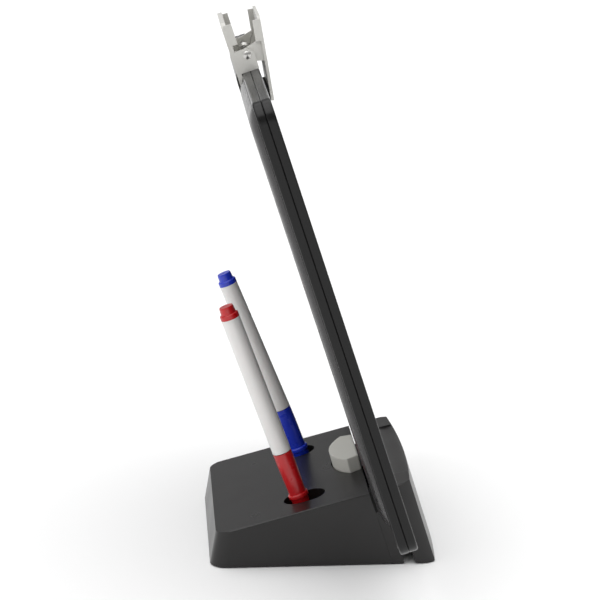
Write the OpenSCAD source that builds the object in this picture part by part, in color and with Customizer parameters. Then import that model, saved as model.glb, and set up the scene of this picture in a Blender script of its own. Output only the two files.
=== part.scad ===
// Magnetic desk whiteboard on a wedge base, with a sprung top clip, two markers and an eraser.
// +X is the width, -Y the writing side, +Z up. The origin is on the desk under the base's middle.

/* [Base] */
// Width of the base from side to side
base_w = 145; // [140:1:170]
// Depth of the base from back to front at the desk
base_d = 145; // [140:1:160]
// Height of the base's back top edge
back_h = 22.2; // [21:0.5:25]
// Height of the base's front top edge
front_h = 55.3; // [53:0.5:60]
// How far the front top edge stands back from the front of the desk line
front_rake = 17.2; // [16:0.2:19]
// How far the back top edge stands in from the back of the desk line
back_rake = 3.8; // [1:0.2:6]
// Bow of the front face, from its middle to its ends
front_bow = 3.5; // [2:0.5:5]
// Radius of the front corners
front_corner_r = 12; // [6:1:16]
// Radius of the back corners
back_corner_r = 10; // [6:1:14]
// Rounding of the long top edges
top_edge_r = 1.2; // [0.8:0.1:2]
// Wall of the base moulding
base_wall = 2.4; // [2:0.1:3]

/* [Feet and bottom plate] */
// Height of the moulding's rim above the desk
rim_lift = 0.8; // [0.5:0.1:1.2]
// Thickness of the bottom plate
plate_t = 2.2; // [2:0.1:3]
// Radius of a rubber foot
foot_r = 5; // [4:0.5:5.5]
// Depth of the recess that holds a foot
foot_recess = 1; // [0.8:0.1:1.2]
// Distance from a side wall or the back wall to a foot
foot_in = 9; // [7:0.5:12]
// Distance from the front wall to a front foot
front_foot_in = 2.6; // [2:0.1:4]
// Distance from the back feet to the back screws
screw_step = 14; // [12:0.5:18]
// Distance from the slot's rear wall to the front screws
front_screw_in = 21.6; // [19:0.1:24]
// Distance from a side wall to a screw boss
boss_in = 3; // [2:0.5:4]
// Radius of the plate screws' shank
screw_r = 1.3; // [1:0.1:1.5]
// Radius of the plate screws' head
screw_head_r = 2.8; // [2.4:0.1:3.2]
// Thickness of the plate screws' head
screw_head_t = 0.8; // [0.6:0.1:0.9]
// Length of the cross recess in a screw's head
recess_len = 3.2; // [2.8:0.1:3.6]
// Width of the cross recess
recess_w = 0.6; // [0.4:0.1:0.8]
// Length of a plate screw under its head
screw_len = 8; // [6:0.5:10]
// Radius of the screw bosses
boss_r = 3.6; // [3.2:0.1:4.2]

/* [Board] */
// Width of the board frame
board_w = 330; // [260:5:400]
// Height of the board frame along its slope
board_h = 281; // [220:1:340]
// Thickness of the two frame halves together
frame_t = 11; // [10:0.5:13]
// Radius of the frame's corners
frame_r = 12; // [12:1:18]
// Width of the frame's border
frame_face = 10; // [9:0.5:11]
// Rounding of the frame's outer edges
frame_edge_r = 1.5; // [0.8:0.1:2]
// Lean of the board from upright
lean = 17.9; // [16:0.1:20]
// Distance from the base's middle to where the frame's rear plane meets the desk
board_foot = 48.95; // [47:0.5:50]
// Height of the frame's lower edge above the desk, measured up the slope
board_lift = 38.5; // [36:0.5:42]
// Depth of the V groove between the frame halves
seam_v = 0.5; // [0.2:0.1:0.8]
// Thickness of the steel writing sheet
sheet_t = 0.6; // [0.4:0.1:1]
// Thickness of the frame's front lip
lip_t = 1.8; // [1.4:0.1:2.2]
// Outer wall of the front frame beside the sheet
frame_wall = 4; // [3:0.5:5]

/* [Rear cover] */
// How far the rear cover stands proud of the frame
crown = 5.5; // [4:0.5:6]
// Width of the curved rim of the rear cover
crown_run = 14; // [12:1:15]
// Distance from the frame's edge to the rear cover's edge
cover_inset = 2.5; // [2:0.5:4]
// Radius of the rear cover's corners
cover_r = 16; // [15.5:0.5:20]
// Wall of the rear cover
cover_wall = 2; // [1.6:0.1:2.4]

/* [Slot] */
// Gap in front of the frame in the slot
slot_gap = 0.3; // [0.3:0.1:0.6]
// Gap behind the rear cover in the slot
rear_gap = 1; // [0.8:0.1:1.6]
// Width of the ledge that carries the frame's front lower edge
ledge_w = 4; // [3:0.5:5]
// Half width of the bridge that joins the base's two halves under the slot
bridge_half = 22; // [15:1:26]
// Height of that bridge above the desk
bridge_h = 5.5; // [4:0.5:6]

/* [Pen wells and trough] */
// Distance of the pen wells from the middle
well_x = 46; // [42:1:50]
// Distance of the wells' middle from the back top edge, up the slope
well_t = 58.9; // [57:0.5:61]
// Length of a well's mouth up the slope
well_len = 27; // [25:0.5:29]
// Width of a well's mouth
well_w = 20; // [18:0.5:22]
// Depth of a well
well_depth = 17.2; // [15:0.2:18]
// Half length of the shallow trough in the base's front top edge
trough_half = 50; // [40:1:56]
// Depth of that trough
trough_depth = 1.2; // [0.6:0.1:1.6]
// Radius of that trough
trough_r = 14; // [10:1:20]

/* [Eraser] */
// Radius of the eraser's curved back
eraser_r = 36.5; // [32:0.5:42]
// Depth of the eraser from its curved back to its flat front
eraser_d = 17.4; // [15:0.1:19]
// Half width of the eraser at its flat front
eraser_front_half = 22.3; // [20:0.1:25]
// How far each end facet spreads towards the back for each mm of depth
eraser_flare = 0.36; // [0.2:0.02:0.5]
// How far the eraser stands proud of the base
eraser_proud = 9.2; // [7:0.1:11]
// Depth of the eraser's pocket
pocket_depth = 5; // [4:0.5:6]
// Thickness of the eraser's felt
felt_t = 3.5; // [3:0.5:4]
// Gap round the eraser in its pocket
pocket_gap = 0.8; // [0.5:0.1:1.2]

/* [Clip] */
// Width of the clip
clip_w = 64; // [50:1:80]
// Thickness of the clip's rear plate
clip_plate_t = 3; // [2:0.5:4]
// How far the rear plate reaches below the board's top edge
clip_low = 20.5; // [16:0.5:24]
// How far the rear plate reaches above the board's top edge
clip_high = 33; // [28:0.5:38]
// Radius of the plates' corners
clip_corner_r = 5; // [3:0.5:7]
// Thickness of the web on the board's top edge
web_t = 2.4; // [2:0.1:3]
// Thickness of the cheeks
cheek_t = 1.5; // [1.2:0.1:2]
// Height of the rear cheeks above the board's top edge
cheek_h = 14; // [13:0.5:16]
// Radius of the rear cheeks' front top corner
cheek_corner_r = 5; // [3:0.5:6]
// Height of the pin above the board's top edge
pin_up = 10; // [9.5:0.1:10.5]
// Distance of the pin in front of the frame's middle
pin_out = 1.2; // [0.5:0.1:2]
// Radius of the pin
pin_r = 1.5; // [1.2:0.1:1.8]
// Running gap round the pin
pin_gap = 0.06; // [0.02:0.01:0.1]
// Radius of the pin's heads
pin_head_r = 2.6; // [2.2:0.1:3]
// Height of the pin's domed heads
pin_head_t = 0.9; // [0.6:0.1:1.2]
// Length of the lever plate
lever_len = 53; // [48:1:58]
// Thickness of the lever plate
lever_t = 1.8; // [1.4:0.1:2.2]
// Tilt of the lever plate from the board
lever_tilt = 8.3; // [7:0.1:10]
// How far the lever's tip reaches below the board's top edge
lever_low = 22.2; // [20:0.5:24]
// Distance of the lever's tip in front of the frame's middle
lever_out = 8.3; // [8:0.1:9]
// Depth of the flanges along the upper arms
flange = 3.3; // [2:0.1:4]
// Length of those flanges
flange_len = 13; // [11:0.5:14]
// Distance of those flanges from the arms' upper ends
flange_end = 2; // [1:0.5:4]
// Half height of the lever's cheeks where they join its plate
lever_cheek_half = 7; // [6:0.5:8]
// Gap between the jaw pad and the board
jaw_gap = 0.2; // [0.2:0.05:0.4]
// Height of the jaw pad
pad_h = 7; // [5:0.5:9]

/* [Spring] */
// Radius of the spring wire
wire_r = 0.55; // [0.4:0.05:0.7]
// Mean radius of the spring's turns
coil_r = 3; // [2.8:0.1:3.4]
// Turns of the spring
coil_turns = 6.5; // [4.5:1:8.5]
// Distance between turns
coil_pitch = 1.9; // [1.7:0.1:2.4]
// Length of the spring's legs
leg_len = 13; // [10:0.5:15]
// Gap between a leg and the arm it bears on
leg_gap = 0.15; // [0.1:0.05:0.3]

/* [Markers] */
// Outer radius of the barrel
barrel_r = 6; // [5.8:0.1:6.4]
// Wall of the barrel
barrel_wall = 1.1; // [0.9:0.1:1.3]
// Length of the cap
cap_len = 49; // [46:0.5:54]
// Radius of the cap's closed end
cap_tip_r = 4.8; // [4.2:0.1:5.2]
// Radius of the cap beside its collar
cap_r = 5.5; // [5.3:0.1:5.7]
// Radius of the cap's collar
collar_r = 6.5; // [6.2:0.1:6.8]
// Height of the collar's middle above the cap's closed end
collar_up = 19; // [18:0.5:22]
// Thickness of the collar
collar_t = 3; // [2:0.5:4]
// Length of the visible barrel
barrel_len = 92.7; // [85:0.5:100]
// Thickness of the end plug's flange
plug_flange = 3.3; // [2.5:0.1:4]
// Radius of the end plug's dome
plug_dome_r = 4.9; // [4.4:0.1:5.2]
// Height of the end plug's dome
plug_dome_h = 6; // [5:0.5:7]
// Radius of the nib
nib_r = 1.6; // [1.2:0.1:2]
// Gap between the barrel and its cap
cap_gap = 0.3; // [0.3:0.05:0.5]
// Lean of the red marker back from the well's axis
red_tilt = 5.1; // [3:0.1:7]
// Distance of the red marker's end from the back top edge, up the slope
red_t = 57.2; // [56:0.1:59]
// Lean of the blue marker back from the well's axis
blue_tilt = 7.2; // [5:0.1:8]
// Distance of the blue marker's end from the back top edge, up the slope
blue_t = 64.4; // [63:0.1:65]
// Gap under the board, a marker or the eraser where it stands
stand_gap = 0.3; // [0.2:0.05:0.4]

/* [Hidden] */
$fn = 64;

// Colours
dark_plastic = [0.20, 0.19, 0.19];
frame_plastic = [0.17, 0.17, 0.17];
cover_plastic = [0.30, 0.28, 0.29];
light_plastic = [0.67, 0.67, 0.65];
clip_metal = [0.78, 0.78, 0.76];
steel = [0.60, 0.60, 0.60];
white = [0.94, 0.94, 0.93];
felt_grey = [0.25, 0.25, 0.26];
rubber_black = [0.08, 0.08, 0.08];
marker_red = [0.72, 0.11, 0.13];
marker_blue = [0.13, 0.22, 0.70];

// Slopes of the base and of its front and back faces
back_y = base_d / 2 - back_rake;
front_y = -(base_d / 2 - front_rake);
top_slope = atan((front_h - back_h) / (back_y - front_y));
front_lean = atan(front_rake / front_h);
back_lean = atan(back_rake / back_h);
bow_r = (pow(base_w / 2, 2) + pow(front_bow, 2)) / (2 * front_bow);
far = 300;

// Slot lines in the board's own frame
slot_rear = crown + rear_gap;
slot_front = frame_t + slot_gap;
groove_front = slot_front - ledge_w;

// Height up the board's slope at which a plane parallel to the board meets the base's top
function top_u(y) = (back_h + tan(top_slope) * (back_y + board_foot - y * cos(lean)) + y * sin(lean))
    / (cos(lean) + tan(top_slope) * sin(lean));
// Distance up the base's top from its back edge to that meeting line
function top_t(y) = (back_y + board_foot - y * cos(lean) - top_u(y) * sin(lean)) / cos(top_slope);
lip_t_back = top_t(slot_rear);
lip_t_front = top_t(-slot_front);
top_len = (back_y - front_y) / cos(top_slope);

// Feet, screws and the bottom plate
plate_gap = 0.3;
foot_x = base_w / 2 - base_wall - foot_r - foot_in;
rear_foot_y = base_d / 2 - base_wall - foot_r - foot_in;
front_foot_y = -base_d / 2 + base_wall + foot_r + front_foot_in;
screw_x = base_w / 2 - base_wall - boss_r - boss_in;
screw_y = [rear_foot_y - screw_step, -board_foot + slot_rear / cos(lean) + front_screw_in];

// Frame and panel
seam = frame_t / 2;
sheet_z = frame_t - lip_t - sheet_t;
rebate_gap = 0.3;
sheet_w = board_w - 2 * (frame_wall + rebate_gap);
sheet_h = board_h - 2 * (frame_wall + rebate_gap);
sheet_r = frame_r - frame_wall - rebate_gap;
crown_r = (pow(crown_run, 2) + pow(crown, 2)) / (2 * crown);
notch_gap = 1;

// Clip
lever_gap = 0.3;
rear_cheek_x = clip_w / 2 - cheek_t;
lever_cheek_x = rear_cheek_x - lever_gap - cheek_t;
cheek_out = frame_t / 2 + 0.3;
lever_pivot_r = 4;
// Inner face of the lever plate at a height above the board's top edge
function lever_inner(up) = lever_out - lever_t / cos(lever_tilt) + (up + lever_low) * tan(lever_tilt);

// Eraser
eraser_front_t = lip_t_back - 0.2;
eraser_back_t = eraser_front_t - eraser_d;

// Markers
collar_low = collar_up - collar_t / 2;
barrel_low = cap_len + cap_gap;
barrel_high = barrel_low + barrel_len;
neck_r = 4.5;
neck_len = 14;
cone_len = 8;
nib_low = 21;

// Centre of a circle of radius r that touches both sides of corner p
function unit(v) = v / norm(v);
function half_angle(a, p, b) = acos(unit(a - p) * unit(b - p)) / 2;
function corner_centre(a, p, b, r) =
    p + unit(unit(a - p) + unit(b - p)) * r / sin(half_angle(a, p, b));
function corner_touch(a, p, b, r) = p + unit(a - p) * r / tan(half_angle(a, p, b));

// Convex outline with each corner rounded by true arcs
module soft_outline(points, radii) {
    n = len(points);
    polygon([for (i = [0:n - 1], side = [0, 1])
        let (a = points[(i + n - 1) % n], p = points[i], b = points[(i + 1) % n])
        side == 0 ? corner_touch(a, p, b, radii[i]) : corner_touch(b, p, a, radii[i])]);
    for (i = [0:n - 1])
        if (radii[i] > 0)
            translate(corner_centre(points[(i + n - 1) % n], points[i], points[(i + 1) % n], radii[i]))
                circle(radii[i]);
}

// The part of a drawing at positive X, ready to be revolved
module right_half() {
    intersection() {
        children();
        translate([0, -far / 2]) square([far / 2, far]);
    }
}

module soft_box(w, h, r) {
    soft_outline([[-w / 2, -h / 2], [w / 2, -h / 2], [w / 2, h / 2], [-w / 2, h / 2]], [r, r, r, r]);
}

// A side profile drawn as (Y, Z), drawn out evenly along X
module across(w) {
    translate([-w / 2, 0, 0]) rotate([90, 0, 90]) linear_extrude(w) children();
}

// Frame of the base's top: origin at its back edge, +Z out of the surface, -Y up the slope
module on_top() {
    translate([0, back_y, back_h]) rotate([-top_slope, 0, 0]) children();
}

// Frame of the slot: +Z up the board's slope, +Y to the board's rear, origin at the desk
module in_slot() {
    translate([0, -board_foot, 0]) rotate([-lean, 0, 0]) children();
}

// Frame of the board: +Y up from its lower edge, +Z to the writing side from its rear plane
module on_board() {
    in_slot() translate([0, 0, board_lift]) rotate([90, 0, 0]) children();
}

// Frame of the clip: +Y up from the board's top edge, +Z to the writing side from its middle
module on_clip() {
    on_board() translate([0, board_h, frame_t / 2]) children();
}

// A profile drawn as (outward, thickness) carried round a rounded rectangle
module ring_sweep(w, h, r) {
    for (k = [0:3]) {
        a = k % 2 == 0 ? w : h;
        b = k % 2 == 0 ? h : w;
        rotate([0, 0, 90 * k]) translate([a / 2 - r, b / 2 - r, 0]) {
            rotate([90, 0, 0]) linear_extrude(b - 2 * r) children();
            rotate_extrude(angle = 90) children();
        }
    }
}

// Base

// Outer block of the base, or its hollow when inset is the wall
module base_block(inset, low) {
    w = base_w / 2 - inset;
    intersection() {
        on_top() rotate([90, 0, 0]) translate([0, -far / 2 - inset, -far / 2])
            linear_extrude(far) soft_outline([[-w, 0], [w, 0], [w, far / 2], [-w, far / 2]],
                [0, 0, top_edge_r, top_edge_r]);
        translate([0, -base_d / 2, 0]) rotate([-front_lean, 0, 0]) translate([0, 0, -far / 4])
            linear_extrude(far / 2) intersection() {
                soft_outline([[-w, inset], [w, inset], [w, far], [-w, far]],
                    [front_corner_r - inset, front_corner_r - inset, 0, 0]);
                translate([0, bow_r]) circle(bow_r - inset, $fn = 256);
            }
        translate([0, base_d / 2, 0]) rotate([back_lean, 0, 0]) translate([0, 0, -far / 4])
            linear_extrude(far / 2) soft_outline([[-w, -far], [w, -far], [w, -inset], [-w, -inset]],
                [0, 0, back_corner_r - inset, back_corner_r - inset]);
        translate([-far / 2, -far / 2, low]) cube([far, far, far]);
    }
}

// Slot for the board and the groove below it, which runs down to the desk beside the bridge
module slot_cut() {
    in_slot() translate([-far / 2, -slot_front, board_lift - stand_gap])
        cube([far, slot_front + slot_rear, far / 2]);
    difference() {
        in_slot() translate([-far / 2, -groove_front, -far / 10])
            cube([far, groove_front + slot_rear, board_lift + far / 10]);
        translate([-bridge_half, -far / 2, -far / 2]) cube([2 * bridge_half, far, far / 2 + bridge_h]);
    }
}

// Outline of a pen well, lengthened and widened by a margin
module well_outline(margin) {
    r = well_w / 2 + margin;
    run = well_len / 2 - well_w / 2;
    for (side = [-1, 1])
        translate([0, side * run]) circle(r);
    translate([-r, -run]) square([2 * r, 2 * run]);
}

// Pen wells, or with a margin the moulded cups that hold them
module wells(margin) {
    on_top() for (side = [-1, 1])
        translate([side * well_x, -well_t, -well_depth - margin])
            linear_extrude(well_depth + margin + far / 10) well_outline(margin);
}

// Outline of the eraser: a curved back, two end facets and a flat front
module eraser_outline(gap, front_gap) {
    reach = eraser_d + 4;
    intersection() {
        translate([0, -eraser_back_t - eraser_r]) circle(eraser_r + gap, $fn = 128);
        translate([0, -eraser_front_t - front_gap]) polygon([
            [-eraser_front_half - gap, 0], [eraser_front_half + gap, 0],
            [eraser_front_half + gap + eraser_flare * reach, reach],
            [-eraser_front_half - gap - eraser_flare * reach, reach]]);
    }
}

module eraser_pocket(gap, floor_t, rise) {
    on_top() translate([0, 0, -pocket_depth - floor_t])
        linear_extrude(pocket_depth + floor_t + rise) eraser_outline(gap, 2);
}

// Walls and bosses that stand inside the hollow base
module base_inside() {
    in_slot() translate([-far / 2, -slot_front - base_wall, -far / 10])
        cube([far, slot_front + slot_rear + 2 * base_wall, far / 2]);
    wells(base_wall);
    eraser_pocket(pocket_gap + base_wall, base_wall, 0);
    for (side = [-1, 1]) {
        translate([side * foot_x, front_foot_y, 0]) cylinder(r = foot_r + 2, h = far);
        for (y = screw_y)
            translate([side * screw_x, y, rim_lift + plate_t]) cylinder(r = boss_r, h = far);
        // Stiffening ribs across the narrow front hollow
        in_slot() translate([side * bridge_half - base_wall / 2, -far / 4, -far / 10])
            cube([base_wall, far / 4 - slot_front, far / 2]);
    }
}

module base_shell() {
    color(dark_plastic) difference() {
        base_block(0, rim_lift);
        difference() {
            base_block(base_wall, -1);
            base_inside();
        }
        slot_cut();
        wells(0);
        eraser_pocket(pocket_gap, 0, 1);
        on_top() translate([-trough_half, -(top_len + lip_t_front) / 2, trough_r - trough_depth])
            rotate([0, 90, 0]) cylinder(r = trough_r, h = 2 * trough_half, $fn = 96);
        for (side = [-1, 1]) {
            translate([side * foot_x, front_foot_y, 0]) cylinder(r = foot_r, h = rim_lift + foot_recess);
            for (y = screw_y)
                translate([side * screw_x, y, 0]) cylinder(r = screw_r, h = rim_lift + screw_len + 1);
        }
    }
}

module base_plate() {
    color(dark_plastic) difference() {
        base_block(base_wall + plate_gap, rim_lift);
        translate([-far / 2, -far / 2, rim_lift + plate_t]) cube([far, far, far]);
        in_slot() translate([-far / 2, -far, -far / 2])
            cube([far, far + slot_rear + base_wall + plate_gap, far]);
        for (side = [-1, 1]) {
            translate([side * foot_x, rear_foot_y, 0]) cylinder(r = foot_r, h = rim_lift + foot_recess);
            for (y = screw_y)
                translate([side * screw_x, y, 0]) {
                    cylinder(r = screw_r, h = far);
                    cylinder(r = screw_head_r, h = rim_lift + foot_recess);
                }
        }
    }
}

module base_feet() {
    color(rubber_black) for (side = [-1, 1], y = [rear_foot_y, front_foot_y])
        translate([side * foot_x, y, 0]) rotate_extrude()
            polygon([[0, 0], [foot_r - 0.6, 0], [foot_r, 0.6], [foot_r, rim_lift + foot_recess],
                [0, rim_lift + foot_recess]]);
}

module base_screws() {
    seat = rim_lift + foot_recess;
    color(steel) for (side = [-1, 1], y = screw_y)
        translate([side * screw_x, y, 0]) difference() {
            union() {
                translate([0, 0, seat - screw_head_t]) cylinder(r = screw_head_r - 0.1, h = screw_head_t);
                translate([0, 0, seat]) cylinder(r = screw_r, h = screw_len - seat);
            }
            for (turn = [0, 90])
                rotate([0, 0, turn]) translate([-recess_len / 2, -recess_w / 2, 0])
                    cube([recess_len, recess_w, seat - screw_head_t / 2]);
        }
}

// Eraser

module eraser_body() {
    color(light_plastic) on_top() translate([0, 0, -pocket_depth + stand_gap + felt_t])
        linear_extrude(pocket_depth - stand_gap - felt_t + eraser_proud) eraser_outline(0, 0);
}

module eraser_felt() {
    color(felt_grey) on_top() translate([0, 0, -pocket_depth + stand_gap])
        linear_extrude(felt_t) eraser_outline(-0.4, -0.4);
}

// Board

module board_middle() {
    on_board() translate([0, board_h / 2, 0]) children();
}

module rear_frame() {
    color(frame_plastic) board_middle() ring_sweep(board_w, board_h, frame_r)
        soft_outline([[frame_r - frame_face, 0], [frame_r, 0], [frame_r, seam - seam_v],
            [frame_r - seam_v, seam], [frame_r - frame_face, seam]], [0, frame_edge_r, 0, 0, 0]);
}

module front_frame() {
    inner = frame_r - frame_face;
    color(frame_plastic) board_middle() ring_sweep(board_w, board_h, frame_r) difference() {
        soft_outline([[inner, seam], [frame_r - seam_v, seam], [frame_r, seam + seam_v],
            [frame_r, frame_t], [inner, frame_t]], [0, 0, 0, frame_edge_r, 0.6]);
        translate([inner - 1, seam - 1])
            square([frame_face - frame_wall + 1, frame_t - lip_t - seam + 1]);
    }
}

module writing_panel() {
    color(white) board_middle() translate([0, 0, sheet_z])
        linear_extrude(sheet_t) soft_box(sheet_w, sheet_h, sheet_r);
}

module panel_core() {
    color(cover_plastic) board_middle() translate([0, 0, seam])
        linear_extrude(sheet_z - seam) soft_box(sheet_w, sheet_h, sheet_r);
}

// Section of the crowned rear cover, solid, or its hollow when inset is the wall
module crown_section(inset) {
    flat = cover_r - crown_run;
    mirror([0, 1]) {
        square([flat, crown - inset]);
        intersection() {
            translate([flat, 0]) square([crown_run, crown - inset]);
            translate([flat, crown - crown_r]) circle(crown_r - inset, $fn = 128);
        }
    }
}

module crown_form(inset) {
    w = board_w - 2 * cover_inset;
    h = board_h - 2 * cover_inset;
    ring_sweep(w, h, cover_r) crown_section(inset);
    translate([-w / 2 + cover_r, -h / 2 + cover_r, -crown + inset])
        cube([w - 2 * cover_r, h - 2 * cover_r, crown - inset]);
}

module rear_cover() {
    notch_w = clip_w + 2 * notch_gap;
    notch_low = board_h / 2 - clip_low - notch_gap;
    color(cover_plastic) board_middle() difference() {
        crown_form(0);
        difference() {
            crown_form(cover_wall);
            translate([-notch_w / 2 - cover_wall, notch_low - cover_wall, -far / 2])
                cube([notch_w + 2 * cover_wall, far, far]);
        }
        translate([-notch_w / 2, notch_low, -far / 2]) cube([notch_w, far, far]);
    }
}

// Clip

// Frame of the lever plate: +Y up its outer face from the tip, +Z to the writing side
module on_lever() {
    on_clip() translate([0, -lever_low, lever_out]) rotate([lever_tilt, 0, 0]) children();
}

module at_pin() {
    on_clip() translate([0, pin_up, pin_out]) rotate([0, 90, 0]) children();
}

module clip_back() {
    plate_h = clip_low + clip_high;
    plate_z = -frame_t / 2 - clip_plate_t;
    plate_mid = plate_z + clip_plate_t / 2;
    color(clip_metal) difference() {
        on_clip() {
            translate([0, plate_h / 2 - clip_low, plate_z])
                linear_extrude(clip_plate_t) soft_box(clip_w, plate_h, clip_corner_r);
            across(clip_w) translate([0, plate_z]) square([web_t, clip_plate_t + frame_t / 2 + cheek_out]);
            for (side = [-1, 1])
                translate([side * (clip_w - cheek_t) / 2, 0, 0]) {
                    across(cheek_t) soft_outline([[0, plate_mid], [cheek_h, plate_mid],
                        [cheek_h, cheek_out], [0, cheek_out]], [0, 0, cheek_corner_r, 0]);
                    across(cheek_t) translate([clip_high - flange_end - flange_len, plate_mid])
                        square([flange_len, clip_plate_t / 2 + flange]);
                }
        }
        at_pin() cylinder(r = pin_r, h = far, center = true);
    }
}

module clip_lever() {
    cheek_lo = pin_up - lever_cheek_half;
    cheek_hi = pin_up + lever_cheek_half;
    color(clip_metal) difference() {
        union() {
            on_lever() translate([0, lever_len / 2, -lever_t])
                linear_extrude(lever_t) soft_box(clip_w, lever_len, clip_corner_r);
            on_clip() for (side = [-1, 1])
                translate([side * (lever_cheek_x + cheek_t / 2), 0, 0]) across(cheek_t) {
                    polygon([
                        [cheek_lo, lever_inner(cheek_lo) + lever_t / 2],
                        [pin_up - lever_pivot_r, pin_out],
                        [pin_up + lever_pivot_r, pin_out],
                        [cheek_hi, lever_inner(cheek_hi) + lever_t / 2]]);
                    translate([pin_up, pin_out]) circle(lever_pivot_r);
                }
            on_lever() for (side = [-1, 1])
                translate([side * (clip_w - cheek_t) / 2, 0, 0]) across(cheek_t)
                    translate([lever_len - flange_end - flange_len, -lever_t - flange])
                        square([flange_len, flange + lever_t / 2]);
        }
        at_pin() cylinder(r = pin_r + pin_gap, h = far, center = true);
    }
}

module clip_pin() {
    dome_r = (pow(pin_head_r, 2) + pow(pin_head_t, 2)) / (2 * pin_head_t);
    color(steel) at_pin() {
        cylinder(r = pin_r, h = clip_w, center = true);
        for (side = [0, 1])
            mirror([0, 0, side]) translate([0, 0, clip_w / 2]) rotate_extrude()
                intersection() {
                    translate([0, pin_head_t - dome_r]) circle(dome_r);
                    square([pin_head_r, pin_head_t]);
                }
    }
}

// Tube of radius r along points, with a ring of sides corners at each, square to the path
function path_dir(p, i) = unit(p[min(i + 1, len(p) - 1)] - p[max(i - 1, 0)]);
function ring_at(c, d, r, sides) =
    let (u = unit(cross(d, abs(d[0]) < 0.9 ? [1, 0, 0] : [0, 1, 0])), v = cross(d, u))
    [for (k = [0:sides - 1]) c + r * (cos(360 * k / sides) * u + sin(360 * k / sides) * v)];
module tube(p, r, sides) {
    n = len(p);
    pts = [for (i = [0:n - 1]) each ring_at(p[i], path_dir(p, i), r, sides)];
    sides_f = [for (i = [0:n - 2], k = [0:sides - 1], half = [0, 1])
        let (a = i * sides + k, b = i * sides + (k + 1) % sides)
        half == 0 ? [a, b, b + sides] : [a, b + sides, a + sides]];
    caps_f = [for (k = [1:sides - 2], end = [0, 1])
        end == 0 ? [0, k + 1, k] : [(n - 1) * sides, (n - 1) * sides + k, (n - 1) * sides + k + 1]];
    polyhedron(pts, concat(sides_f, caps_f));
}

// Path of the torsion spring round the pin, with one leg on each arm, drawn as (along pin, up, out)
coil_steps = 10;
coil_len = coil_turns * coil_pitch;
function coil_point(turn) = [coil_pitch * turn - coil_len / 2,
    pin_up - coil_r * sin(360 * turn), pin_out - coil_r * cos(360 * turn)];
leg_end = pin_up + leg_len;
spring_path = concat(
    [[-coil_len / 2, leg_end, -frame_t / 2 + leg_gap + wire_r]],
    [for (i = [0:coil_turns * coil_steps]) coil_point(i / coil_steps)],
    [[coil_len / 2, leg_end, lever_inner(leg_end) - leg_gap - wire_r / cos(lever_tilt)]]);

module clip_spring() {
    color(steel) on_clip() tube(spring_path, wire_r, 6);
}

module jaw_pad() {
    board_front = frame_t / 2 + jaw_gap;
    low = -lever_low + 0.6;
    high = low + pad_h;
    color(rubber_black) on_clip() across(clip_w - 8)
        polygon([[low, board_front], [high, board_front], [high, lever_inner(high)],
            [low, lever_inner(low)]]);
}

// Markers

// Frame of a marker that stands in a well: +Z up the marker from the cap's closed end
module in_well(side, t, tilt) {
    on_top() translate([side * well_x, -t, -well_depth + stand_gap + cap_tip_r * sin(tilt)])
        rotate([-tilt, 0, 0]) children();
}

module marker_cap() {
    inner_r = neck_r + cap_gap;
    throat = cap_len - neck_len - cone_len;
    rotate_extrude() right_half() difference() {
        union() {
            soft_outline([[0, 0], [cap_tip_r, 0], [cap_r, 6], [cap_r, collar_low], [0, collar_low]],
                [0, 1.2, 3, 0, 0]);
            translate([0, collar_low]) soft_outline([[0, 0], [collar_r, 0], [collar_r, collar_t],
                [0, collar_t]], [0, 0.8, 0.8, 0]);
            polygon([[0, collar_low], [cap_r, collar_low], [cap_r, collar_low + collar_t + 4],
                [barrel_r, cap_len - 8], [barrel_r, cap_len], [0, cap_len]]);
        }
        polygon([[-1, nib_low - 3], [nib_r + 1.4, nib_low - 3], [nib_r + 1.4, throat - 2],
            [inner_r, throat + 2], [inner_r, cap_len + 1], [-1, cap_len + 1]]);
    }
}

module marker_barrel() {
    neck_low = barrel_low - neck_len;
    bore_r = barrel_r - barrel_wall;
    rotate_extrude() difference() {
        polygon([[0, neck_low - cone_len + 2], [nib_r + 0.8, neck_low - cone_len + 2],
            [neck_r, neck_low], [neck_r, barrel_low], [barrel_r - 0.3, barrel_low],
            [barrel_r, barrel_low + 0.3], [barrel_r, barrel_high], [0, barrel_high]]);
        polygon([[-1, neck_low - cone_len], [nib_r, neck_low - cone_len], [nib_r, barrel_low + 2],
            [bore_r, barrel_low + 2], [bore_r, barrel_high + 1], [-1, barrel_high + 1]]);
    }
}

module marker_plug() {
    bore_r = barrel_r - barrel_wall;
    rotate_extrude() right_half() {
        translate([0, barrel_high - 6]) square([bore_r, 6]);
        translate([0, barrel_high]) soft_outline([[0, 0], [barrel_r, 0], [barrel_r, plug_flange],
            [0, plug_flange]], [0, 0.2, 1, 0]);
        translate([0, barrel_high + plug_flange]) soft_outline([[0, -1], [plug_dome_r, -1],
            [plug_dome_r - 0.4, plug_dome_h], [0, plug_dome_h]], [0, 0, 2.6, 0]);
    }
}

module marker_nib() {
    rotate_extrude() {
        translate([0, nib_low + nib_r]) square([nib_r, barrel_low + 2 - nib_low - nib_r]);
        intersection() {
            translate([0, nib_low + nib_r]) circle(nib_r);
            translate([0, nib_low]) square([nib_r, nib_r]);
        }
    }
}

module marker_core() {
    translate([0, 0, barrel_low + 2])
        cylinder(r = barrel_r - barrel_wall - 0.1, h = barrel_len - 2 - 6);
}

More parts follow.
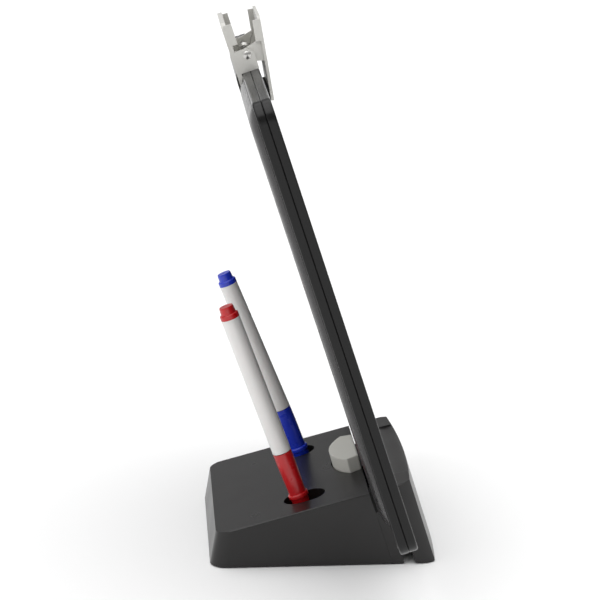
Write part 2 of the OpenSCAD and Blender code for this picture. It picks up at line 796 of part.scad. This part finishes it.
module red_cap() { color(marker_red) in_well(-1, red_t, red_tilt) marker_cap(); }
module red_barrel() { color(white) in_well(-1, red_t, red_tilt) marker_barrel(); }
module red_plug() { color(marker_red) in_well(-1, red_t, red_tilt) marker_plug(); }
module red_nib() { color(marker_red) in_well(-1, red_t, red_tilt) marker_nib(); }
module red_core() { color(marker_red) in_well(-1, red_t, red_tilt) marker_core(); }
module blue_cap() { color(marker_blue) in_well(1, blue_t, blue_tilt) marker_cap(); }
module blue_barrel() { color(white) in_well(1, blue_t, blue_tilt) marker_barrel(); }
module blue_plug() { color(marker_blue) in_well(1, blue_t, blue_tilt) marker_plug(); }
module blue_nib() { color(marker_blue) in_well(1, blue_t, blue_tilt) marker_nib(); }
module blue_core() { color(marker_blue) in_well(1, blue_t, blue_tilt) marker_core(); }

base_shell();
base_plate();
base_feet();
base_screws();
eraser_body();
eraser_felt();
rear_frame();
front_frame();
rear_cover();
writing_panel();
panel_core();
clip_back();
clip_lever();
clip_pin();
clip_spring();
jaw_pad();
red_cap();
red_barrel();
red_plug();
red_nib();
red_core();
blue_cap();
blue_barrel();
blue_plug();
blue_nib();
blue_core();
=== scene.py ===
"""Looks of a magnetic desk whiteboard in a wedge base, with a sprung clip, two markers and an eraser."""

import math

import bpy
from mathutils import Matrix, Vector, noise


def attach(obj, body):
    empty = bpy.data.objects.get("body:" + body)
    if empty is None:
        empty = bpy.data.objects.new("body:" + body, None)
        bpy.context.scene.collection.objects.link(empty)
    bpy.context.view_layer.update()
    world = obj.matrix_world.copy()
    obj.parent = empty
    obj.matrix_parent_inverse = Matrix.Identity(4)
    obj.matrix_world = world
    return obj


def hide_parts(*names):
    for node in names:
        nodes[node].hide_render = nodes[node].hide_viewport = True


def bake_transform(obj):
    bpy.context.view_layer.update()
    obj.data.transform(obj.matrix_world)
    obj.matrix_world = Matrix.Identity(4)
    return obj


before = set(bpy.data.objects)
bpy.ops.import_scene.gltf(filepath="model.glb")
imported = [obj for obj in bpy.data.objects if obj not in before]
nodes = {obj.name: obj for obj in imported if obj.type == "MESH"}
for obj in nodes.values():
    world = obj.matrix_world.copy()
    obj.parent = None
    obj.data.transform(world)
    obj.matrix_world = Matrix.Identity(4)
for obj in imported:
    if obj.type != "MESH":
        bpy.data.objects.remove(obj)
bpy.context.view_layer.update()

MM = 0.001

# The board leans back from upright; these are its directions up the slope and out to the writing side
LEAN = math.radians(17.9)
UP = Vector((0, math.sin(LEAN), math.cos(LEAN)))
OUT = Vector((0, -math.cos(LEAN), math.sin(LEAN)))
# Where the slope of its rear plane meets the desk, and how far up it the board's lower edge stands, in mm
BOARD_FOOT = 48.95
BOARD_STAND = 38.5

# A white cove at the horizon, a dim room above it and a soft box overhead, as shares of the brightest
ROOM_TOP = 1.6
ROOM_LIGHT = ((0, 0.56), (0.06, 0.56), (0.18, 0.2), (0.55, 0.2), (0.8, 1), (1, 1))
# One wide lamp, by its strength, its spread in degrees and the direction that it shines from
LAMP_LIGHT = 0.9
LAMP_SPREAD = 70
LAMP_FROM = (-0.35, 0.75, 1)


# Small helpers


def linear(code):
    """Turns an sRGB hex colour into the linear one that a shader takes."""
    parts = [int(code[i : i + 2], 16) / 255 for i in (0, 2, 4)]
    return [c / 12.92 if c <= 0.04045 else ((c + 0.055) / 1.055) ** 2.4 for c in parts] + [1]


def add(tree, kind, values=None, links=None, **settings):
    """Adds one node with its settings, its input values and its links."""
    node = tree.nodes.new(kind)
    for name, value in settings.items():
        setattr(node, name, value)
    for socket, value in (values or {}).items():
        node.inputs[socket].default_value = value
    for socket, source in (links or {}).items():
        tree.links.new(source, node.inputs[socket])
    return node


def new_finish(name, values):
    """A new material and its node tree, with the shader's own sockets set."""
    material = bpy.data.materials.new(name)
    material.use_nodes = True
    shader = material.node_tree.nodes["Principled BSDF"]
    for socket, value in values.items():
        shader.inputs[socket].default_value = value
    return material, material.node_tree, shader


def dress(material, *names):
    """Gives CAD nodes this material."""
    for name in names:
        nodes[name].data.materials.clear()
        nodes[name].data.materials.append(material)


def patchy_roughness(tree, shader, place, low, high, size):
    """Broad soft patches of gloss, as handling and the flow of the moulding leave them."""
    patches = add(
        tree,
        "ShaderNodeTexNoise",
        {"Scale": 1 / (size * MM), "Detail": 1, "Roughness": 0.4},
        {"Vector": place},
    )
    spread = add(
        tree,
        "ShaderNodeMapRange",
        {"From Min": 0.15, "From Max": 0.85, "To Min": low, "To Max": high},
        {"Value": patches.outputs["Fac"]},
    )
    tree.links.new(spread.outputs["Result"], shader.inputs["Roughness"])


def grained(tree, shader, place, size, depth, edge):
    """A fine moulded grain over edges that are broken by a small radius, all sizes in mm."""
    soft_edge = add(tree, "ShaderNodeBevel", {"Radius": edge * MM}, samples=6)
    grain = add(
        tree,
        "ShaderNodeTexNoise",
        {"Scale": 1 / (size * MM), "Detail": 2, "Roughness": 0.6},
        {"Vector": place},
    )
    bump = add(
        tree,
        "ShaderNodeBump",
        {"Strength": 1, "Distance": depth * MM},
        {"Height": grain.outputs["Fac"], "Normal": soft_edge.outputs["Normal"]},
    )
    tree.links.new(bump.outputs["Normal"], shader.inputs["Normal"])


# Finishes


def spark_eroded_abs():
    """Black ABS from a spark-eroded mould. Its fine grain spreads the sheen and pales at a low angle."""
    material, tree, shader = new_finish(
        "spark_eroded_black_abs",
        {"Base Color": linear("201f1f"), "IOR": 1.54, "Specular IOR Level": 0.35},
    )
    place = add(tree, "ShaderNodeTexCoord").outputs["Object"]
    patchy_roughness(tree, shader, place, 0.26, 0.33, 30)
    # The real grain is about 0.15 mm; it is drawn at 0.6 mm so that it shows
    grained(tree, shader, place, 0.6, 0.012, 0.35)
    return material


def polished_abs():
    """Black ABS from a polished mould. It mirrors the room softly, so its edges show as thin pale lines."""
    material, tree, shader = new_finish(
        "polished_black_abs",
        {"Base Color": linear("111111"), "IOR": 1.54, "Specular IOR Level": 0.26},
    )
    place = add(tree, "ShaderNodeTexCoord").outputs["Object"]
    patchy_roughness(tree, shader, place, 0.2, 0.27, 40)
    # Faint waves left by shrinkage, a few millimetres apart
    grained(tree, shader, place, 4, 0.01, 0.8)
    return material


def drawn_satin_abs():
    """Dark grey satin ABS of the rear cover. Flow lines run up the slope and streak the sheen."""
    material, tree, shader = new_finish(
        "satin_grey_abs",
        {"Base Color": linear("232122"), "IOR": 1.54, "Specular IOR Level": 0.4},
    )
    place = add(tree, "ShaderNodeTexCoord").outputs["Object"]
    along = add(
        tree,
        "ShaderNodeMapping",
        {"Rotation": (LEAN, 0, 0), "Scale": (1, 1, 0.03)},
        {"Vector": place},
    )
    # Streaks about 2.5 mm wide and some 80 mm long
    streaks = add(
        tree,
        "ShaderNodeTexNoise",
        {"Scale": 1 / (2.5 * MM), "Detail": 3, "Roughness": 0.6},
        {"Vector": along.outputs["Vector"]},
    )
    spread = add(
        tree,
        "ShaderNodeMapRange",
        {"From Min": 0.3, "From Max": 0.7, "To Min": 0.2, "To Max": 0.36},
        {"Value": streaks.outputs["Fac"]},
    )
    tree.links.new(spread.outputs["Result"], shader.inputs["Roughness"])
    grained(tree, shader, place, 0.6, 0.012, 0.4)
    return material


def silver_grey_abs():
    """Light grey ABS of the eraser's grip, moulded satin. It stays even and a little warm."""
    material, tree, shader = new_finish(
        "satin_light_grey_abs",
        {"Base Color": linear("cbcac3"), "Roughness": 0.45, "IOR": 1.54},
    )
    place = add(tree, "ShaderNodeTexCoord").outputs["Object"]
    patchy_roughness(tree, shader, place, 0.4, 0.5, 15)
    # The wide radius also rounds the long edge of the grip
    grained(tree, shader, place, 0.5, 0.01, 1.8)
    return material


def powder_coated_steel():
    """Light grey powder coat on pressed steel. Its faint orange peel softens the highlights on the bends."""
    material, tree, shader = new_finish(
        "light_grey_powder_coat",
        {
            "Base Color": linear("c9c8c3"),
            "Roughness": 0.38,
            "IOR": 1.5,
            "Coat Weight": 0.2,
            "Coat Roughness": 0.2,
        },
    )
    place = add(tree, "ShaderNodeTexCoord").outputs["Object"]
    patchy_roughness(tree, shader, place, 0.34, 0.44, 12)
    grained(tree, shader, place, 0.8, 0.015, 0.35)
    return material


def zinc_plated_steel():
    """Bright zinc on turned steel and spring wire. Fine drawing marks blur its reflections a little."""
    material, tree, shader = new_finish(
        "bright_zinc_plate",
        {"Base Color": linear("c6c5c2"), "Metallic": 1, "Roughness": 0.28},
    )
    place = add(tree, "ShaderNodeTexCoord").outputs["Object"]
    patchy_roughness(tree, shader, place, 0.22, 0.36, 3)
    # Draw marks of about 0.05 mm, drawn at 0.3 mm
    grained(tree, shader, place, 0.3, 0.006, 0.15)
    return material


def enamelled_steel():
    """White enamel fired on steel, the writing side. It is glassy over a faint fired ripple."""
    material, tree, shader = new_finish(
        "white_fired_enamel",
        {
            "Base Color": linear("eeeeec"),
            "Roughness": 0.16,
            "IOR": 1.5,
            "Coat Weight": 0.6,
            "Coat Roughness": 0.05,
        },
    )
    place = add(tree, "ShaderNodeTexCoord").outputs["Object"]
    patchy_roughness(tree, shader, place, 0.13, 0.24, 60)
    # The fired ripple of orange peel, about 2.5 mm from crest to crest
    grained(tree, shader, place, 2.5, 0.006, 0.2)
    return material


def hardboard():
    """Pressed wood fibre of the board's core, brown and mottled, with fibres about 3 mm long."""
    material, tree, shader = new_finish("pressed_hardboard", {"Roughness": 0.85, "IOR": 1.45})
    place = add(tree, "ShaderNodeTexCoord").outputs["Object"]
    fibres = add(
        tree,
        "ShaderNodeTexNoise",
        {"Scale": 1 / (1.2 * MM), "Detail": 4, "Distortion": 1.5},
        {"Vector": place},
    )
    tint = add(tree, "ShaderNodeValToRGB", links={"Fac": fibres.outputs["Fac"]})
    tint.color_ramp.elements[0].color = linear("6d5238")
    tint.color_ramp.elements[1].color = linear("a3825c")
    tree.links.new(tint.outputs["Color"], shader.inputs["Base Color"])
    grained(tree, shader, place, 1.2, 0.03, 0.3)
    return material


def moulded_rubber():
    """Black moulded rubber of the feet and the jaw pad. It is dull, with a dusty bloom in its grain."""
    material, tree, shader = new_finish(
        "black_moulded_rubber", {"Roughness": 0.75, "IOR": 1.52, "Specular IOR Level": 0.35}
    )
    place = add(tree, "ShaderNodeTexCoord").outputs["Object"]
    bloom = add(
        tree,
        "ShaderNodeTexNoise",
        {"Scale": 1 / (1.5 * MM), "Detail": 5, "Roughness": 0.7},
        {"Vector": place},
    )
    tint = add(tree, "ShaderNodeValToRGB", links={"Fac": bloom.outputs["Fac"]})
    tint.color_ramp.elements[0].position = 0.4
    tint.color_ramp.elements[0].color = linear("161616")
    tint.color_ramp.elements[1].position = 0.75
    tint.color_ramp.elements[1].color = linear("2c2b2a")
    tree.links.new(tint.outputs["Color"], shader.inputs["Base Color"])
    grained(tree, shader, place, 0.4, 0.02, 0.3)
    return material


def pressed_felt():
    """Pressed wool felt of the eraser. Crossing fibres break the light, and a fuzz pales its rim."""
    material, tree, shader = new_finish(
        "pressed_wool_felt",
        {
            "Roughness": 0.95,
            "IOR": 1.45,
            "Specular IOR Level": 0.2,
            "Sheen Weight": 0.6,
            "Sheen Roughness": 0.5,
        },
    )
    place = add(tree, "ShaderNodeTexCoord").outputs["Object"]
    # Wool fibres are 0.03 mm thick; they are drawn at 0.25 mm so that they show
    fibres = add(
        tree,
        "ShaderNodeTexNoise",
        {"Scale": 1 / (0.5 * MM), "Detail": 5, "Roughness": 0.7, "Distortion": 3},
        {"Vector": place},
    )
    tint = add(tree, "ShaderNodeValToRGB", links={"Fac": fibres.outputs["Fac"]})
    tint.color_ramp.elements[0].position = 0.35
    tint.color_ramp.elements[0].color = linear("353538")
    tint.color_ramp.elements[1].position = 0.7
    tint.color_ramp.elements[1].color = linear("62626a")
    tree.links.new(tint.outputs["Color"], shader.inputs["Base Color"])
    bump = add(
        tree,
        "ShaderNodeBump",
        {"Strength": 1, "Distance": 0.12 * MM},
        {"Height": fibres.outputs["Fac"]},
    )
    tree.links.new(bump.outputs["Normal"], shader.inputs["Normal"])
    return material


def glossy_polypropylene(name, colour, low, high):
    """Moulded polypropylene of the caps, plugs and barrels. It is glossy and a little waxy."""
    material, tree, shader = new_finish(
        name,
        {
            "Base Color": linear(colour),
            "IOR": 1.49,
            "Subsurface Weight": 0.08,
            "Subsurface Radius": (0.001, 0.0005, 0.0005),
            "Coat Weight": 0.3,
            "Coat Roughness": 0.12,
        },
    )
    place = add(tree, "ShaderNodeTexCoord").outputs["Object"]
    patchy_roughness(tree, shader, place, low, high, 6)
    # Sink marks and polishing waves of the mould, about 1.5 mm apart
    grained(tree, shader, place, 1.5, 0.006, 0.25)
    return material


def inked_fibre(name, colour):
    """Acrylic fibre soaked in ink, for the nibs and the ink cores. It is matt and finely mottled."""
    material, tree, shader = new_finish(name, {"Roughness": 0.8, "IOR": 1.45})
    place = add(tree, "ShaderNodeTexCoord").outputs["Object"]
    fibres = add(
        tree,
        "ShaderNodeTexNoise",
        {"Scale": 1 / (0.3 * MM), "Detail": 3},
        {"Vector": place},
    )
    tint = add(
        tree,
        "ShaderNodeMix",
        {"A": linear(colour), "B": linear("101014")},
        data_type="RGBA",
    )
    tree.links.new(fibres.outputs["Fac"], tint.inputs["Factor"])
    tree.links.new(tint.outputs["Result"], shader.inputs["Base Color"])
    grained(tree, shader, place, 0.3, 0.02, 0.1)
    return material


# Pieces made here


def mesh_piece(name, points, faces, material, smooth=True):
    """A mesh object from its points and faces."""
    mesh = bpy.data.meshes.new(name)
    mesh.from_pydata(points, [], faces)
    mesh.materials.append(material)
    piece = bpy.data.objects.new(name, mesh)
    bpy.context.scene.collection.objects.link(piece)
    for face in mesh.polygons:
        face.use_smooth = smooth
    return piece


def bake(piece):
    """Makes the shape that a piece's modifiers give its own mesh, and returns that mesh."""
    shaped = piece.evaluated_get(bpy.context.evaluated_depsgraph_get())
    formed = bpy.data.meshes.new_from_object(shaped)
    piece.modifiers.clear()
    piece.data = formed
    return formed


def torsion_spring(material):
    """Round wire wound about the clip's pin. Each leg bears on one arm."""
    pin = Vector((0, 45.95, 315.61)) * MM
    wire_radius, coil, pitch, turns = 0.55 * MM, 3 * MM, 1.9 * MM, 6.5
    leg_up, leg_rear, leg_front = 13 * MM, -6 * MM, 11.17 * MM
    half = pitch * turns / 2
    steps, leg_steps, sides = 28, 6, 12
    # The legs leave the coil straight up and bow a little towards the arms
    rear_bow, front_bow = 1.15, 1.05

    def place(along, up, out):
        return pin + Vector((along, 0, 0)) + UP * up + OUT * out

    path = []
    for i in range(leg_steps):
        share = 1 - i / leg_steps
        path.append(place(-half, leg_up * share, -coil + (leg_rear + coil) * share**rear_bow))
    for i in range(int(turns * steps) + 1):
        angle = 2 * math.pi * i / steps
        path.append(place(pitch * i / steps - half, -coil * math.sin(angle), -coil * math.cos(angle)))
    for i in range(1, leg_steps + 1):
        share = i / leg_steps
        path.append(place(half, leg_up * share, coil + (leg_front - coil) * share**front_bow))

    points, faces = [], []
    for i, centre in enumerate(path):
        ahead = (path[min(i + 1, len(path) - 1)] - path[max(i - 1, 0)]).normalized()
        across = ahead.cross(Vector((1, 0, 0)) if abs(ahead.x) < 0.9 else UP).normalized()
        other = ahead.cross(across)
        for k in range(sides):
            turn = 2 * math.pi * k / sides
            points.append(centre + (across * math.cos(turn) + other * math.sin(turn)) * wire_radius)
    for i in range(len(path) - 1):
        for k in range(sides):
            a, b = i * sides + k, i * sides + (k + 1) % sides
            faces.append((a, b, b + sides, a + sides))
    faces.append(tuple(reversed(range(sides))))
    last = (len(path) - 1) * sides
    faces.append(tuple(range(last, last + sides)))
    spring = mesh_piece("wound_spring", points, faces, material)
    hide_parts("clip_spring")
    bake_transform(spring)


def felt_pad(material):
    """The eraser's felt, as a soft slab with rounded, slightly uneven sides."""
    mesh = nodes["eraser_felt"].data.copy()
    mesh.materials.clear()
    mesh.materials.append(material)
    pad = bpy.data.objects.new("felt_pad", mesh)
    bpy.context.scene.collection.objects.link(pad)
    remesh = pad.modifiers.new("even_grid", "REMESH")
    remesh.mode = "VOXEL"
    remesh.voxel_size = 0.45 * MM
    remesh.use_smooth_shade = True
    soften = pad.modifiers.new("soft_rim", "SMOOTH")
    soften.factor = 0.5
    soften.iterations = 4
    formed = bake(pad)
    # The fuzz only sinks in, so that the pad stays in its pocket
    tuft, deepest = 1.1 * MM, 0.15 * MM
    for point in formed.vertices:
        sink = 0.5 + 0.5 * noise.noise(point.co / tuft)
        point.co -= point.normal * sink * deepest
    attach(pad, "eraser")
    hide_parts("eraser_felt")


def on_back(along, up, out):
    """A point of the board from its distances along it, up its slope and out from its rear plane, in mm."""
    return Vector((along * MM, -BOARD_FOOT * MM, 0)) + UP * (up + BOARD_STAND) * MM + OUT * out * MM


def crowned_cover(material):
    """The rear cover with a softer crown and wide lower corners, notched for the clip."""
    half_wide, low, high = 162.5, 2.5, 278.5
    tight, wide = 16, 62
    crown, run, fullness = 4.6, 13.5, 2.8
    flange, flange_edge = 0.4, 0.5
    steps, rings = 20, 12
    # Rows of inset, distance out and lower corner radius: a thin flange that fills the frame, then the crown
    rows = [(0, 0, tight), (0, -flange, tight)]
    for ring in range(rings + 1):
        share = ring / rings
        rise = (crown - flange) * (1 - (1 - share) ** fullness)
        rows.append((flange_edge + run * share, -flange - rise, wide))
    points, faces = [], []
    for inset, out, below in rows:
        corners = ((1, high, tight, 0), (-1, high, tight, 90), (-1, low, below, 180), (1, low, below, 270))
        for side, level, radius, start in corners:
            middle = level - radius if level == high else level + radius
            for step in range(steps + 1):
                turn = math.radians(start + 90 * step / steps)
                along = side * (half_wide - radius) + (radius - inset) * math.cos(turn)
                points.append(on_back(along, middle + (radius - inset) * math.sin(turn), out))
    count = len(points) // len(rows)
    for ring in range(len(rows) - 1):
        for k in range(count):
            a, b = ring * count + k, ring * count + (k + 1) % count
            faces.append((a, b, b + count, a + count))
    faces.append(tuple(range(len(points) - count, len(points))))
    faces.append(tuple(reversed(range(count))))
    cover = mesh_piece("crowned_cover", points, faces, material)

    # The clip stands in a notch at the top, which the cutter passes on all its open sides
    notch_half, notch_low = 33, 259.5
    box = [on_back(x, u, o) for x in (-notch_half, notch_half) for u in (notch_low, 290) for o in (-8, 4)]
    sides = [(0, 1, 3, 2), (4, 6, 7, 5), (0, 4, 5, 1), (2, 3, 7, 6), (0, 2, 6, 4), (1, 5, 7, 3)]
    cutter = mesh_piece("clip_notch", box, sides, material)
    cut = cover.modifiers.new("notch", "BOOLEAN")
    cut.object = cutter
    cut.operation = "DIFFERENCE"
    cut.solver = "EXACT"
    formed = bake(cover)
    bpy.data.objects.remove(cutter)
    formed.set_sharp_from_angle(angle=math.radians(35))
    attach(cover, "board")
    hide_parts("rear_cover")


def slot_filler(material):
    """Closes the rear half of the slot below the board, once on each side of the base."""
    # Corners by height from the board's lower edge and distance out, down to just above the desk
    corners = ((-0.3, -6.6), (-0.3, 0.6), (-37.7, 0.6), (-35.4, -6.6))
    middle = [sum(corner[k] for corner in corners) / 4 for k in (0, 1)]
    inner, outer, bevel = 22, 72.5, 0.4
    rows = ((inner, 0), (outer - bevel, 0), (outer, bevel))
    for side, end in ((-1, "left"), (1, "right")):
        points, faces = [], []
        for along, inset in rows:
            for up, out in corners:
                up -= inset if up > middle[0] else 0
                out -= inset if out > middle[1] else 0
                points.append(on_back(side * along, up, out))
        for row in range(2):
            for k in range(4):
                a, b = row * 4 + k, row * 4 + (k + 1) % 4
                faces.append((a, b, b + 4, a + 4))
        faces += [(3, 2, 1, 0), (8, 9, 10, 11)]
        if side < 0:
            faces = [tuple(reversed(face)) for face in faces]
        filler = mesh_piece(f"slot_filler_{end}", points, faces, material, smooth=False)
        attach(filler, "base")


# Studio


def studio():
    """A white floor, a room that is white at the horizon, dim above it and bright overhead, and one wide
    lamp from the rear left, above the markers.
    """
    material = new_finish(
        "matt_white_floor", {"Base Color": linear("f7f7f7"), "Roughness": 0.9, "Specular IOR Level": 0}
    )[0]
    # Half the width of the floor, in metres
    reach = 30
    corners = [(-reach, -reach, 0), (reach, -reach, 0), (reach, reach, 0), (-reach, reach, 0)]
    mesh_piece("floor", corners, [(0, 1, 2, 3)], material, smooth=False)

    world = bpy.data.worlds.new("room")
    bpy.context.scene.world = world
    world.use_nodes = True
    tree = world.node_tree
    back = tree.nodes["Background"]
    back.inputs["Color"].default_value = (1, 1, 1, 1)
    # Height in the room, from 0 at the horizon to 1 overhead
    place = add(tree, "ShaderNodeTexCoord")
    height = add(tree, "ShaderNodeSeparateXYZ", links={"Vector": place.outputs["Generated"]})
    level = add(tree, "ShaderNodeValToRGB", links={"Fac": height.outputs["Z"]})
    ramp = level.color_ramp
    ramp.interpolation = "EASE"
    for spot, light in ROOM_LIGHT:
        stop = ramp.elements.new(spot)
        stop.color = (light, light, light, 1)
    ramp.elements.remove(ramp.elements[0])
    ramp.elements.remove(ramp.elements[-1])
    bright = add(
        tree,
        "ShaderNodeMath",
        {1: ROOM_TOP},
        {0: level.outputs["Color"]},
        operation="MULTIPLY",
    )
    tree.links.new(bright.outputs[0], back.inputs["Strength"])

    lamp = bpy.data.lights.new("wide_lamp", "SUN")
    lamp.energy = LAMP_LIGHT
    lamp.angle = math.radians(LAMP_SPREAD)
    holder = bpy.data.objects.new("wide_lamp", lamp)
    holder.rotation_mode = "QUATERNION"
    holder.rotation_quaternion = Vector(LAMP_FROM).to_track_quat("Z", "Y")
    bpy.context.scene.collection.objects.link(holder)


def camera():
    """The photograph's view: from the left end, a little above the clip, with a long lens."""
    yaw, pitch = 0.068, 0.237
    look = Vector((math.cos(yaw) * math.cos(pitch), -math.sin(yaw) * math.cos(pitch), -math.sin(pitch)))
    data = bpy.data.cameras.new("camera")
    data.lens = 132
    data.sensor_width = 36
    data.clip_end = 100
    holder = bpy.data.objects.new("camera", data)
    holder.location = (-1.367, 0.1046, 0.485)
    holder.rotation_mode = "QUATERNION"
    holder.rotation_quaternion = look.to_track_quat("-Z", "Y")
    bpy.context.scene.collection.objects.link(holder)
    bpy.context.scene.camera = holder


camera()
studio()

black_abs = spark_eroded_abs()
frame_abs = polished_abs()
zinc = zinc_plated_steel()
rubber = moulded_rubber()
powder = powder_coated_steel()
dress(black_abs, "base_shell", "base_plate")
dress(frame_abs, "rear_frame", "front_frame")
dress(silver_grey_abs(), "eraser_body")
dress(powder, "clip_back", "clip_lever")
dress(zinc, "clip_pin", "base_screws")
dress(enamelled_steel(), "writing_panel")
dress(hardboard(), "panel_core")
dress(rubber, "base_feet", "jaw_pad")
dress(glossy_polypropylene("red_polypropylene", "bd1219", 0.24, 0.34), "red_cap", "red_plug")
dress(glossy_polypropylene("blue_polypropylene", "1b35c0", 0.24, 0.34), "blue_cap", "blue_plug")
dress(glossy_polypropylene("white_polypropylene", "e6e4e2", 0.32, 0.42), "red_barrel", "blue_barrel")
dress(inked_fibre("red_inked_fibre", "9c1418"), "red_nib", "red_core")
dress(inked_fibre("blue_inked_fibre", "14259a"), "blue_nib", "blue_core")
torsion_spring(zinc)
felt_pad(pressed_felt())
slot_filler(black_abs)
crowned_cover(drawn_satin_abs())

bpy.context.scene.view_settings.view_transform = "Standard"
